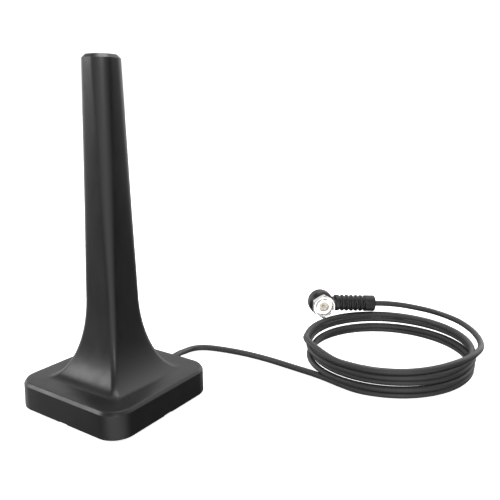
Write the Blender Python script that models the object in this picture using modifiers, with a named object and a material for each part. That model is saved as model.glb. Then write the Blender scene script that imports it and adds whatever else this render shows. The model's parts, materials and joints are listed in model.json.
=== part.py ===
"""Indoor desktop antenna of a cellular signal booster.

A tapered mast rises from a rounded-square weighted base. A thin coaxial lead leaves the back of the
base, runs across the surface to a round coil, and ends in a right-angle plug whose hexagonal coupling
nut spins on the plug.

Frame: +Z up, origin under the middle of the base at the height of its feet, -Y is the front face.
"""
import math

import bmesh
import bpy
from mathutils import Matrix, Vector

MM = 0.001
GAP = 0.3 * MM

# Base and mast, outside
BASE_HALF = 29.0 * MM
BASE_CORNER = 9.2 * MM
BASE_TOP = 12.0 * MM
RIM_BOTTOM = 0.7 * MM
RIM_ROUND = 0.7 * MM
RIM_MIDDLE = (0.2, 0.4)
WALL_DRAFT = 0.15 * MM
DECK_CHAMFER = 1.0 * MM
DECK_CHAMFER_DROP = 1.35 * MM
MAST_TOP = 140.5 * MM
MAST_CHAMFER = 1.5 * MM
MAST_HALF_TOP = 6.79 * MM
MAST_HALF_LOW = 8.15 * MM
MAST_CORNER_TOP = 5.5 * MM
MAST_CORNER_LOW = 2.6 * MM
MAST_CROWN = 0.55 * MM
CROWN_LIFT = 0.5
CROWN_START = 52.0 * MM
CROWN_FULL = 94.0 * MM
CROWN_POINTS = 3
MAST_RINGS = 8
FLARE_START = 46.0 * MM
FLARE_REACH = 12.1 * MM
FLARE_DEPTH = 34.0 * MM
CORNER_STEPS = 5
FLARE_STEPS = 9
INNER_CORNER_SHARE = 0.6
INNER_CORNER_LEAST = 1.0 * MM

# Base and mast, inside
WALL = 2.0 * MM
CAVITY_HALF = 26.4 * MM
CAVITY_CORNER = 6.8 * MM
DECK_UNDERSIDE = 10.0 * MM
LEDGE_HEIGHT = 2.6 * MM
LEDGE_HALF = 27.2 * MM

# Pry notches in the rim
NOTCH_LENGTH = 4.8 * MM
NOTCH_HEIGHT = 0.6 * MM
NOTCH_TURNS = (0, 90, -90)

# Bottom cover, its screws and feet
COVER_HALF = LEDGE_HALF - GAP
COVER_BOTTOM = 0.9 * MM
COVER_TOP = LEDGE_HEIGHT - GAP
CORNER_POST = 20.5 * MM
FOOT_RADIUS = 4.6 * MM
FOOT_TOP = 1.1 * MM
FOOT_BEVEL = 0.4 * MM
COVER_BOSS_RADIUS = 4.0 * MM
COVER_BOSS_TOP = 4.2 * MM
SCREW_HEAD_RADIUS = 2.1 * MM
SCREW_HEAD_BASE = 1.9 * MM
SCREW_HEAD_TOP = 2.9 * MM
SCREW_SHANK_RADIUS = 1.1 * MM
SCREW_TIP = 8.6 * MM
HOUSING_BOSS_RADIUS = 3.2 * MM
HOUSING_BOSS_TOP = BASE_TOP - 0.8 * MM
POST_ROOT = COVER_BOTTOM + 0.6 * MM
SMALL_PILOT_BOTTOM = COVER_BOTTOM + 1.0 * MM
SMALL_SCREW_TIP = COVER_BOTTOM + 1.6 * MM
DRIVE_LENGTH_SHARE = 0.6
DRIVE_WIDTH_SHARE = 0.16
DRIVE_DEPTH_SHARE = 0.5
TIP_SHARE = 0.4
LABEL_HALF = 11.0 * MM
LABEL_CORNER = 1.5 * MM
LABEL_THICK = 0.15 * MM

# Ballast plate
BALLAST_HALF = 14.2 * MM
BALLAST_CORNER = 3.0 * MM
BALLAST_BOTTOM = COVER_TOP + GAP
BALLAST_TOP = BALLAST_BOTTOM + 2.5 * MM

# Board holder
HOLDER_BOTTOM = BALLAST_TOP + GAP
HOLDER_THICK = 2.0 * MM
HOLDER_CORNER = 2.0 * MM
CHEEK_ROOT = 0.5 * MM
HOLDER_HALF_X = 13.5 * MM
HOLDER_HALF_Y = 4.6 * MM
HOLDER_SCREW_X = 10.5 * MM
HOLDER_POST_RADIUS = 2.4 * MM
CHEEK_HALF_X = 6.5 * MM
CHEEK_THICK = 1.6 * MM
CHEEK_HEIGHT = 8.0 * MM
SMALL_SCREW_SHANK = 0.9 * MM
SMALL_SCREW_HEAD = 1.7 * MM
SMALL_HEAD_HEIGHT = 1.0 * MM

# Antenna board and its copper
BOARD_THICK = 1.6 * MM
BOARD_TOP = 130.0 * MM
BOARD_HALF_LOW = 5.4 * MM
BOARD_HALF_TOP = 3.8 * MM
COPPER_THICK = 0.25 * MM
COPPER_MARGIN = 0.8 * MM
FEED_HEIGHT = 70.0 * MM
FEED_SPLIT = 2.0 * MM
UPPER_ARM_TOP = 127.0 * MM
LOWER_ARM_BOTTOM = 22.0 * MM
FOAM_BOTTOM = 119.0 * MM
FOAM_TOP = 125.0 * MM
FOAM_HALF = 4.6 * MM
FOAM_CORNER = 3.0 * MM
FOAM_SLACK = 0.1 * MM
FEED_RADIUS = 0.3 * MM
FEED_LIFT = 0.5 * MM
FEED_RISE = 0.4 * MM
CORE_JOINT = (0.0, FEED_HEIGHT + 2.3 * MM, 1.3 * MM)
BRAID_JOINT = (2.9 * MM, FEED_HEIGHT - 6.0 * MM, 1.1 * MM)
JOINT_PROFILE = ((0.0, 0.8), (0.55, 0.62), (0.9, 0.25), (1.0, 0.0), (0.0, 0.0))

# Lead, grommet and clamp
CORD_RADIUS = 1.45 * MM
EXIT_HEIGHT = 5.4 * MM
GROMMET_BORE = CORD_RADIUS + GAP
GROMMET_NECK = 2.2 * MM
GROMMET_FLANGE = 2.8 * MM
GROMMET_NOSE = 2.1 * MM
FLANGE_THICK = 1.3 * MM
NOSE_END = 36.0 * MM
NOSE_TAPER = 0.3 * MM
FLANGE_BREAK = 0.2 * MM
CLAMP_Y = 20.5 * MM
CLAMP_POST_X = 5.4 * MM
CLAMP_POST_RADIUS = 2.3 * MM
CLAMP_HALF_X = 7.8 * MM
CLAMP_HALF_Y = 2.2 * MM
CLAMP_THICK = 1.2 * MM
CLAMP_CORNER = 1.6 * MM

# Coil of the free lead
COIL_CENTRE = Vector((84.3 * MM, 100.0 * MM, 0))
COIL_RADIUS = 38.8 * MM
COIL_HALF_WIDTH = 2.4 * MM
COIL_BOTTOM = 0.1 * MM
COIL_TOP = 11.5 * MM
COIL_EDGE = 1.2 * MM

# Right-angle plug
PLUG_CENTRE = Vector((40.1 * MM, 111.8 * MM, 20.2 * MM))
NUT_ANGLE = math.radians(-50.0)
BOOT_ANGLE = math.radians(40.0)
BOOT_DROOP = math.radians(2.9)
ELBOW_RADIUS = 6.6 * MM
ELBOW_BACK = 5.5 * MM
ELBOW_SHOULDER = 3.5 * MM
ELBOW_FRONT_ROUND = ((0.4 * MM, 1.2 * MM), (0.0, 2.3 * MM))
ELBOW_BACK_ROUND = ((0.0, 2.7 * MM), (0.5 * MM, 4.0 * MM), (1.4 * MM, 4.9 * MM), (2.8 * MM, ELBOW_BACK))
NECK_START = 1.0 * MM
POST_BORE_BACK = -3.0 * MM
SHOULDER_RADIUS = 5.3 * MM
COLLAR_RADIUS = 4.8 * MM
COLLAR_FRONT = 5.3 * MM
NECK_RADIUS = 3.3 * MM
NECK_END = 7.2 * MM
BOOT_END = 29.4 * MM
BOOT_RADIUS = 4.3 * MM
BOOT_GROOVE = 3.6 * MM
RIB_COUNT = 6
RIB_PITCH = 2.55 * MM
RIB_START = 8.7 * MM
RIB_SLOPE = 0.15
RIB_GROOVE_END = 0.5
BOOT_EDGE = 0.4 * MM
FERRULE_RADIUS = 2.3 * MM
FERRULE_END = 15.6 * MM
NUT_AF = 11.0 * MM
NUT_BACK = 5.6 * MM
NUT_FACE = 9.2 * MM
NUT_BORE = 4.82 * MM
NUT_ROUND = 6.2 * MM
NUT_FACE_RADIUS = 5.5 * MM
NUT_CHAMFER = 0.9 * MM
NUT_BACK_BREAK = 0.4 * MM
BORE_BREAK_WIDTH = 0.2 * MM
BORE_BREAK_DEPTH = 0.4 * MM
THREAD_PITCH = 0.8 * MM
THREAD_DEPTH = 0.3 * MM
POST_FLANGE_RADIUS = 3.9 * MM
POST_FLANGE_FACE = 8.0 * MM
POST_FLANGE_THICK = 1.5 * MM
POST_FLANGE_EDGE = 0.2 * MM
POST_BACK = -2.6 * MM
POST_RADIUS = 3.15 * MM
INSULATOR_RADIUS = 2.4 * MM
INSULATOR_FACE = 7.0 * MM
PIN_RADIUS = 0.5 * MM
PIN_TIP = 11.2 * MM
PIN_TAPER = ((0.0, 0.0), (0.5, 0.2 * MM), (1.0, 0.8 * MM))
INSULATOR_BACK = POST_BACK + 1.0 * MM
PIN_BACK = POST_BACK + 1.2 * MM

SEGMENTS = 32
SMALL_SEGMENTS = 20
FINE_SEGMENTS = 16

# The free lead's own points: from the wall through the grommet to the coil, and from the coil to the boot
LEAD_ROUTE = [Vector(point) * MM for point in (
    (0.0, 29.0, 5.4), (0.0, 32.6, 5.4), (0.0, 36.3, 5.4), (-0.6, 39.5, 5.2), (-1.9, 44.0, 4.5),
    (-3.6, 49.6, 3.1), (-4.8, 54.3, 2.1), (-4.6, 58.2, 1.6), (-2.6, 61.3, 1.5), (1.0, 63.4, 1.5),
    (5.6, 64.9, 1.5), (11.8, 66.3, 1.5), (19.0, 67.4, 1.5), (27.0, 67.9, 1.5), (36.0, 67.8, 1.5),
    (45.0, 67.1, 1.5), (54.0, 66.3, 1.5))]
TAIL_ROUTE = [Vector(point) * MM for point in (
    (62.0, 66.4, 13.5), (70.8, 61.2, 13.4), (81.4, 59.1, 13.3), (92.0, 60.2, 13.3),
    (101.4, 64.4, 13.3), (108.6, 70.4, 13.4), (114.3, 77.6, 13.6), (118.1, 84.6, 13.7),
    (121.0, 91.4, 13.7), (122.9, 98.4, 13.7), (123.8, 105.4, 13.6), (123.4, 112.4, 13.3),
    (121.4, 120.0, 13.1), (118.0, 127.4, 13.1), (112.9, 134.9, 13.3), (105.6, 141.8, 13.7),
    (97.2, 145.6, 14.3), (88.8, 145.9, 15.3), (80.6, 143.5, 16.4), (74.3, 140.1, 17.4),
    (69.8, 136.7, 18.1), (66.4, 133.9, 18.45), (63.35, 131.35, 18.65))]
LEAD_STEPS = 22
TAIL_STEPS = 34
INNER_STEPS = 22
INNER_ROUTE = [Vector(point) * MM for point in (
    (0, 28.7, 5.4), (0, 24.0, 5.4), (0, 20.0, 5.35), (0, 17.0, 5.4), (0, 14.4, 6.4), (0, 11.5, 8.2),
    (0, 8.8, 9.8), (0, 6.7, 12.0), (0, 5.5, 14.8), (0, 4.8, 17.8), (0, 4.0, 22.0), (0, 3.1, 28.0),
    (0, 2.7, 36.0), (0, 2.6, 50.0), (0, 2.6, 66.4))]

MATERIALS = {}


def clear_scene():
    """Empty the scene, so that the model is all that it holds."""
    for thing in list(bpy.data.objects):
        bpy.data.objects.remove(thing, do_unlink=True)


def make_collection(name):
    """Return a new collection linked to the scene."""
    collection = bpy.data.collections.new(name)
    bpy.context.scene.collection.children.link(collection)
    return collection


def define_material(name, colour, roughness, metallic=0.0):
    """Add one Principled material to MATERIALS."""
    material = bpy.data.materials.new(name)
    material.use_nodes = True
    shader = material.node_tree.nodes["Principled BSDF"]
    shader.inputs["Base Color"].default_value = (*colour, 1.0)
    shader.inputs["Roughness"].default_value = roughness
    shader.inputs["Metallic"].default_value = metallic
    MATERIALS[name] = material


def define_materials():
    """Colours are linear values."""
    define_material("housing_plastic", (0.055, 0.056, 0.058), 0.48)
    define_material("cover_plastic", (0.03, 0.03, 0.032), 0.6)
    define_material("soft_rubber", (0.02, 0.02, 0.021), 0.85)
    define_material("cord_jacket", (0.045, 0.045, 0.047), 0.5)
    define_material("plug_plastic", (0.018, 0.018, 0.019), 0.45)
    define_material("zinc_steel", (0.55, 0.56, 0.57), 0.35, 1.0)
    define_material("board_laminate", (0.02, 0.16, 0.06), 0.45)
    define_material("copper", (0.72, 0.36, 0.2), 0.35, 1.0)
    define_material("solder", (0.62, 0.62, 0.62), 0.3, 1.0)
    define_material("nickel", (0.72, 0.71, 0.69), 0.22, 1.0)
    define_material("insulator_cream", (0.82, 0.76, 0.66), 0.5)
    define_material("foam", (0.1, 0.1, 0.1), 0.95)
    define_material("label_film", (0.3, 0.3, 0.3), 0.6)


def add_object(name, data, material, collection):
    """Link new data to the scene as an object with one material."""
    thing = bpy.data.objects.new(name, data)
    collection.objects.link(thing)
    if material:
        data.materials.append(MATERIALS[material])
    return thing


def mesh_object(name, bm, material, collection):
    """Turn a bmesh into an object and free it."""
    bmesh.ops.recalc_face_normals(bm, faces=bm.faces)
    mesh = bpy.data.meshes.new(name)
    bm.to_mesh(mesh)
    bm.free()
    return add_object(name, mesh, material, collection)


def rounded_square(half_x, half_y, corner, height, steps=CORNER_STEPS, between=0):
    """Points of a rounded rectangle at one height, counter-clockwise, with some between the corners."""
    corners = []
    for quarter, (sign_x, sign_y) in enumerate(((1, 1), (-1, 1), (-1, -1), (1, -1))):
        centre_x = sign_x * (half_x - corner)
        centre_y = sign_y * (half_y - corner)
        arc = []
        for step in range(steps + 1):
            angle = math.radians(90 * (quarter + step / steps))
            arc.append(Vector((centre_x + corner * math.cos(angle),
                               centre_y + corner * math.sin(angle), height)))
        corners.append(arc)
    points = []
    for arc, following in zip(corners, corners[1:] + corners[:1]):
        points += arc
        for step in range(between):
            points.append(arc[-1].lerp(following[0], (step + 1) / (between + 1)))
    return points


def crowned(points, half, crown):
    """The points of a rounded square with each of its faces bulging by the crown."""
    share = crown / half
    return [Vector((point.x * (1 - share * (point.y / half) ** 2),
                    point.y * (1 - share * (point.x / half) ** 2), point.z)) for point in points]


def loft(name, rings, material, collection):
    """A closed body through rings of equal point counts, capped at both ends."""
    bm = bmesh.new()
    loops = [[bm.verts.new(point) for point in ring] for ring in rings]
    count = len(loops[0])
    for lower, upper in zip(loops, loops[1:]):
        for index in range(count):
            following = (index + 1) % count
            bm.faces.new((lower[index], lower[following], upper[following], upper[index]))
    bm.faces.new(loops[0])
    bm.faces.new(loops[-1])
    return mesh_object(name, bm, material, collection)


def slab(name, half_x, half_y, corner, bottom, top, material, collection):
    """A rounded rectangular plate."""
    rings = [rounded_square(half_x, half_y, corner, height) for height in (bottom, top)]
    return loft(name, rings, material, collection)


def box(name, low, high, material, collection):
    """A box between two corners."""
    bm = bmesh.new()
    bmesh.ops.create_cube(bm, size=1.0)
    centre = (Vector(low) + Vector(high)) / 2
    size = Vector(high) - Vector(low)
    bmesh.ops.scale(bm, vec=size, verts=bm.verts)
    bmesh.ops.translate(bm, vec=centre, verts=bm.verts)
    return mesh_object(name, bm, material, collection)


def cylinder(name, radius, bottom, top, material, collection, segments=SEGMENTS):
    """An upright cylinder about its own Z axis, between two heights."""
    bm = bmesh.new()
    bmesh.ops.create_cone(bm, cap_ends=True, segments=segments, radius1=radius, radius2=radius,
                          depth=top - bottom)
    bmesh.ops.translate(bm, vec=(0, 0, (bottom + top) / 2), verts=bm.verts)
    return mesh_object(name, bm, material, collection)


def turned(name, profile, material, collection, closed=False, steps=SEGMENTS):
    """A profile of (radius, height) points swept round Z, running down its outer side."""
    bm = bmesh.new()
    verts = [bm.verts.new((radius, 0, height)) for radius, height in profile]
    for first, second in zip(verts, verts[1:]):
        bm.edges.new((first, second))
    if closed:
        bm.edges.new((verts[-1], verts[0]))
    mesh = bpy.data.meshes.new(name)
    bm.to_mesh(mesh)
    bm.free()
    thing = add_object(name, mesh, material, collection)
    screw = thing.modifiers.new("turn", "SCREW")
    screw.axis = "Z"
    screw.steps = steps
    screw.render_steps = steps
    screw.use_merge_vertices = True
    screw.merge_threshold = 0.00001
    screw.use_smooth_shade = True
    return thing


def smooth_points(route, count):
    """Evenly spaced points on a smooth curve through the route."""
    ends = [2 * route[0] - route[1], *route, 2 * route[-1] - route[-2]]
    fine = []
    per_span = 24
    for index in range(1, len(ends) - 2):
        before, start, stop, after = ends[index - 1:index + 3]
        for step in range(per_span):
            t = step / per_span
            fine.append(0.5 * (2 * start + (stop - before) * t
                               + (2 * before - 5 * start + 4 * stop - after) * t ** 2
                               + (3 * start - before - 3 * stop + after) * t ** 3))
    fine.append(route[-1].copy())
    lengths = [0.0]
    for first, second in zip(fine, fine[1:]):
        lengths.append(lengths[-1] + (second - first).length)
    points = []
    place = 0
    for step in range(count):
        target = lengths[-1] * step / (count - 1)
        while place < len(fine) - 2 and lengths[place + 1] < target:
            place += 1
        span = lengths[place + 1] - lengths[place]
        points.append(fine[place].lerp(fine[place + 1], (target - lengths[place]) / span))
    return points


def tube(name, points, radius, material, collection, resolution=2):
    """A round bar along the points, with filled ends."""
    curve = bpy.data.curves.new(name, "CURVE")
    curve.dimensions = "3D"
    curve.bevel_depth = radius
    curve.bevel_resolution = resolution
    curve.use_fill_caps = True
    curve.render_resolution_u = 0
    spline = curve.splines.new("POLY")
    spline.points.add(len(points) - 1)
    for target, point in zip(spline.points, points):
        target.co = (*point, 1.0)
    return add_object(name, curve, material, collection)


def boolean(target, other, operation):
    """Join or cut the target with another object, which becomes a hidden tool."""
    modifier = target.modifiers.new(operation.lower(), "BOOLEAN")
    modifier.operation = operation
    modifier.solver = "EXACT"
    modifier.object = other
    other.hide_render = True
    other.display_type = "WIRE"


def shade(thing, angle=35.0):
    """Shade a mesh smooth, with its sharper edges kept."""
    thing.data.shade_smooth()
    thing.data.set_sharp_from_angle(angle=math.radians(angle))


def mast_half(height):
    """Half the mast's width across its flats, without the flare."""
    top = MAST_TOP - MAST_CHAMFER
    share = (top - height) / (top - FLARE_START)
    return MAST_HALF_TOP + (MAST_HALF_LOW - MAST_HALF_TOP) * share


def mast_corner(height):
    """Corner radius of the mast's section: nearly round at the top, a crisp ridge at the foot."""
    top = MAST_TOP - MAST_CHAMFER
    share = min(1.0, (top - height) / (top - FLARE_START))
    return MAST_CORNER_TOP + (MAST_CORNER_LOW - MAST_CORNER_TOP) * share


def mast_crown(height):
    """How far each of the mast's faces bulges: flat at the foot, full from the middle up."""
    share = min(1.0, max(0.0, (height - CROWN_START) / (CROWN_FULL - CROWN_START)))
    return MAST_CROWN * share * share * (3 - 2 * share)


def flare_rings(drop, inset, foot):
    """Rings of the elliptical flare from the foot up, lowered by drop and moved in by inset."""
    start = FLARE_START - drop
    foot_angle = math.asin(min(1.0, (start - foot) / FLARE_DEPTH))
    rings = []
    for step in range(FLARE_STEPS, -1, -1):
        angle = foot_angle * step / FLARE_STEPS
        height = start - FLARE_DEPTH * math.sin(angle)
        half = mast_half(height) - inset + FLARE_REACH * (1 - math.cos(angle))
        corner = max(mast_corner(height) - inset * INNER_CORNER_SHARE, INNER_CORNER_LEAST)
        rings.append(rounded_square(half, half, corner, height, between=CROWN_POINTS))
    return rings


def make_housing(parts, cutters):
    """Mast, flare and base shell in one moulding, open underneath, with screw bosses inside."""
    def ring(half, corner, height, crown=0.0):
        half += CROWN_LIFT * crown
        return crowned(rounded_square(half, half, corner, height, between=CROWN_POINTS), half, crown)

    chamfer_foot = MAST_TOP - MAST_CHAMFER
    inner_top = MAST_TOP - WALL
    inner = [ring(mast_half(inner_top) - WALL, mast_corner(inner_top) - WALL, inner_top)]
    inner += reversed(flare_rings(WALL, WALL, DECK_UNDERSIDE))
    inner += [ring(CAVITY_HALF, CAVITY_CORNER, DECK_UNDERSIDE),
              ring(CAVITY_HALF, CAVITY_CORNER, LEDGE_HEIGHT),
              ring(LEDGE_HALF, CAVITY_CORNER + LEDGE_HALF - CAVITY_HALF, LEDGE_HEIGHT),
              ring(LEDGE_HALF, CAVITY_CORNER + LEDGE_HALF - CAVITY_HALF, RIM_BOTTOM)]
    rim_half = BASE_HALF - RIM_ROUND
    top_half = BASE_HALF - WALL_DRAFT
    deck_half = top_half - DECK_CHAMFER
    outer = [ring(rim_half, BASE_CORNER - RIM_ROUND, RIM_BOTTOM),
             ring(BASE_HALF - RIM_MIDDLE[0] * RIM_ROUND, BASE_CORNER - RIM_MIDDLE[0] * RIM_ROUND,
                  RIM_BOTTOM + RIM_MIDDLE[1] * RIM_ROUND),
             ring(BASE_HALF, BASE_CORNER, RIM_BOTTOM + RIM_ROUND),
             ring(top_half, BASE_CORNER - WALL_DRAFT, BASE_TOP - DECK_CHAMFER_DROP),
             ring(deck_half, BASE_CORNER - DECK_CHAMFER, BASE_TOP)]
    outer += flare_rings(0.0, 0.0, BASE_TOP)
    for step in range(1, MAST_RINGS + 1):
        height = FLARE_START + (chamfer_foot - FLARE_START) * step / MAST_RINGS
        outer.append(ring(mast_half(height), mast_corner(height), height, mast_crown(height)))
    outer.append(ring(MAST_HALF_TOP - MAST_CHAMFER, MAST_CORNER_TOP - MAST_CHAMFER, MAST_TOP, MAST_CROWN))
    housing = loft("mast_housing", inner + outer, "housing_plastic", parts)
    shade(housing)
    boss_bottom = COVER_BOSS_TOP + GAP
    for index, (x, y) in enumerate(corner_places()):
        boss = cylinder(f"housing_boss_{index + 1}", HOUSING_BOSS_RADIUS, boss_bottom,
                        HOUSING_BOSS_TOP, None, cutters, SMALL_SEGMENTS)
        boss.location = (x, y, 0)
        boolean(housing, boss, "UNION")
    for index, (x, y) in enumerate(corner_places()):
        pilot = cylinder(f"housing_pilot_{index + 1}", SCREW_SHANK_RADIUS + GAP,
                         boss_bottom - MM, SCREW_TIP + 2 * GAP, None, cutters, FINE_SEGMENTS)
        pilot.location = (x, y, 0)
        boolean(housing, pilot, "DIFFERENCE")
    hole = cylinder("lead_exit", GROMMET_NECK + GAP, CAVITY_HALF - MM, BASE_HALF + MM, None, cutters)
    hole.location = (0, 0, EXIT_HEIGHT)
    hole.rotation_euler = (math.radians(-90), 0, 0)
    boolean(housing, hole, "DIFFERENCE")
    for index, turn in enumerate(NOTCH_TURNS):
        notch = box(f"pry_notch_{index + 1}", (-NOTCH_LENGTH / 2, -BASE_HALF - MM, 0),
                    (NOTCH_LENGTH / 2, -LEDGE_HALF + MM, RIM_BOTTOM + NOTCH_HEIGHT), None, cutters)
        notch.rotation_euler = (0, 0, math.radians(turn))
        boolean(housing, notch, "DIFFERENCE")


def corner_places():
    """Where the base's four screws and feet stand."""
    return [(sign_x * CORNER_POST, sign_y * CORNER_POST) for sign_x in (1, -1) for sign_y in (1, -1)]


def make_cover(parts, cutters):
    """Bottom cover with bosses for its own screws and posts for the holder and the lead clamp."""
    corner = CAVITY_CORNER + LEDGE_HALF - CAVITY_HALF - GAP
    cover = slab("base_cover", COVER_HALF, COVER_HALF, corner, COVER_BOTTOM, COVER_TOP,
                 "cover_plastic", parts)
    posts = [(x, y, COVER_BOSS_RADIUS, COVER_BOSS_TOP) for x, y in corner_places()]
    posts += [(sign * HOLDER_SCREW_X, 0, HOLDER_POST_RADIUS, BALLAST_TOP) for sign in (1, -1)]
    posts += [(sign * CLAMP_POST_X, CLAMP_Y, CLAMP_POST_RADIUS, EXIT_HEIGHT + CORD_RADIUS)
              for sign in (1, -1)]
    for index, (x, y, radius, top) in enumerate(posts):
        post = cylinder(f"cover_post_{index + 1}", radius, POST_ROOT, top, None, cutters,
                        SMALL_SEGMENTS)
        post.location = (x, y, 0)
        boolean(cover, post, "UNION")
    holes = []
    for x, y in corner_places():
        holes.append((x, y, FOOT_RADIUS + GAP, 0, FOOT_TOP + GAP))
        holes.append((x, y, SCREW_HEAD_RADIUS + GAP, 0, SCREW_HEAD_TOP + GAP))
        holes.append((x, y, SCREW_SHANK_RADIUS + GAP, 0, COVER_BOSS_TOP + MM))
    small_bore = SMALL_SCREW_SHANK + GAP
    for sign in (1, -1):
        holes.append((sign * HOLDER_SCREW_X, 0, small_bore, SMALL_PILOT_BOTTOM, BALLAST_TOP + MM))
        holes.append((sign * CLAMP_POST_X, CLAMP_Y, small_bore, SMALL_PILOT_BOTTOM,
                      EXIT_HEIGHT + CORD_RADIUS + MM))
    for index, (x, y, radius, bottom, top) in enumerate(holes):
        hole = cylinder(f"cover_hole_{index + 1}", radius, bottom, top, None, cutters,
                        SMALL_SEGMENTS)
        hole.location = (x, y, 0)
        boolean(cover, hole, "DIFFERENCE")


def make_screw(name, place, head_radius, head_bottom, head_top, shank_radius, tip, parts, cutters):
    """A cross-recess screw; the head may point down or up, and the shank runs to the tip."""
    upward = tip > head_top
    depth = DRIVE_DEPTH_SHARE * (head_top - head_bottom)
    if upward:
        profile = [(0, tip), (shank_radius * TIP_SHARE, tip), (shank_radius, tip - shank_radius),
                   (shank_radius, head_top), (head_radius, head_top), (head_radius, head_bottom),
                   (0, head_bottom)]
        drive_low, drive_high = head_bottom - MM, head_bottom + depth
    else:
        profile = [(0, head_top), (head_radius, head_top), (head_radius, head_bottom),
                   (shank_radius, head_bottom), (shank_radius, tip + shank_radius),
                   (shank_radius * TIP_SHARE, tip), (0, tip)]
        drive_low, drive_high = head_top - depth, head_top + MM
    screw = turned(name, profile, "zinc_steel", parts, steps=12)
    screw.location = (*place, 0)
    arm = head_radius * DRIVE_LENGTH_SHARE
    blade = head_radius * DRIVE_WIDTH_SHARE
    for index, (half_x, half_y) in enumerate(((arm, blade), (blade, arm))):
        slot = box(f"{name}_drive_{index + 1}", (-half_x, -half_y, drive_low),
                   (half_x, half_y, drive_high), None, cutters)
        slot.location = (*place, 0)
        boolean(screw, slot, "DIFFERENCE")


def make_feet(parts):
    """Four rubber feet over the cover's screws."""
    for index, place in enumerate(corner_places()):
        foot = turned(f"foot_{index + 1}",
                      [(0, FOOT_TOP), (FOOT_RADIUS, FOOT_TOP), (FOOT_RADIUS, FOOT_BEVEL),
                       (FOOT_RADIUS - FOOT_BEVEL, 0), (0, 0)], "soft_rubber", parts, steps=24)
        foot.location = (*place, 0)


def make_base_fittings(parts, cutters):
    """Everything that the base holds: ballast, screws, feet, label and the lead clamp."""
    ballast = slab("ballast_plate", BALLAST_HALF, BALLAST_HALF, BALLAST_CORNER, BALLAST_BOTTOM,
                   BALLAST_TOP, "zinc_steel", parts)
    for index, sign in enumerate((1, -1)):
        hole = cylinder(f"ballast_hole_{index + 1}", HOLDER_POST_RADIUS + GAP, 0,
                        BALLAST_TOP + MM, None, cutters, SMALL_SEGMENTS)
        hole.location = (sign * HOLDER_SCREW_X, 0, 0)
        boolean(ballast, hole, "DIFFERENCE")
    for index, place in enumerate(corner_places()):
        make_screw(f"cover_screw_{index + 1}", place, SCREW_HEAD_RADIUS, SCREW_HEAD_BASE,
                   SCREW_HEAD_TOP, SCREW_SHANK_RADIUS, SCREW_TIP, parts, cutters)
    make_feet(parts)
    label_top = COVER_BOTTOM - GAP
    slab("base_label", LABEL_HALF, LABEL_HALF, LABEL_CORNER, label_top - LABEL_THICK, label_top,
         "label_film", parts)
    clamp_bottom = EXIT_HEIGHT + CORD_RADIUS + GAP
    clamp_top = clamp_bottom + CLAMP_THICK
    clamp = slab("lead_clamp", CLAMP_HALF_X, CLAMP_HALF_Y, CLAMP_CORNER, clamp_bottom, clamp_top,
                 "cover_plastic", parts)
    clamp.location = (0, CLAMP_Y, 0)
    for index, sign in enumerate((1, -1)):
        hole = cylinder(f"clamp_hole_{index + 1}", SMALL_SCREW_SHANK + GAP, 0, clamp_top + MM,
                        None, cutters, FINE_SEGMENTS)
        hole.location = (sign * CLAMP_POST_X, CLAMP_Y, 0)
        boolean(clamp, hole, "DIFFERENCE")
        make_screw(f"clamp_screw_{index + 1}", (sign * CLAMP_POST_X, CLAMP_Y), SMALL_SCREW_HEAD,
                   clamp_top + GAP, clamp_top + GAP + SMALL_HEAD_HEIGHT, SMALL_SCREW_SHANK,
                   SMALL_SCREW_TIP, parts, cutters)


def make_board_holder(parts, cutters):
    """Plastic foot that grips the board between two cheeks and is screwed down over the ballast."""
    top = HOLDER_BOTTOM + HOLDER_THICK
    holder = slab("board_holder", HOLDER_HALF_X, HOLDER_HALF_Y, HOLDER_CORNER, HOLDER_BOTTOM, top,
                  "cover_plastic", parts)
    slot_half = BOARD_THICK / 2 + GAP
    for index, sign in enumerate((1, -1)):
        near, far = sorted((sign * slot_half, sign * (slot_half + CHEEK_THICK)))
        cheek = box(f"holder_cheek_{index + 1}", (-CHEEK_HALF_X, near, top - CHEEK_ROOT),
                    (CHEEK_HALF_X, far, top + CHEEK_HEIGHT), None, cutters)
        boolean(holder, cheek, "UNION")
    for index, sign in enumerate((1, -1)):
        hole = cylinder(f"holder_hole_{index + 1}", SMALL_SCREW_SHANK + GAP, 0, top + MM, None,
                        cutters, FINE_SEGMENTS)
        hole.location = (sign * HOLDER_SCREW_X, 0, 0)
        boolean(holder, hole, "DIFFERENCE")
        make_screw(f"holder_screw_{index + 1}", (sign * HOLDER_SCREW_X, 0), SMALL_SCREW_HEAD,
                   top + GAP, top + GAP + SMALL_HEAD_HEIGHT, SMALL_SCREW_SHANK,
                   SMALL_SCREW_TIP, parts, cutters)


def board_half(height):
    """Half the board's width at a height, following the mast's taper."""
    bottom = HOLDER_BOTTOM + HOLDER_THICK + GAP
    share = (height - bottom) / (BOARD_TOP - bottom)
    return BOARD_HALF_LOW + (BOARD_HALF_TOP - BOARD_HALF_LOW) * share


def upright_strip(name, bottom, top, front, back, margin, material, collection):
    """A tapered strip standing in the mast, narrower than the board by a margin on each side."""
    rings = []
    for height in (bottom, top):
        half = board_half(height) - margin
        rings.append([Vector((x, y, height)) for x, y in
                      ((half, front), (half, back), (-half, back), (-half, front))])
    return loft(name, rings, material, collection)


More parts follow.
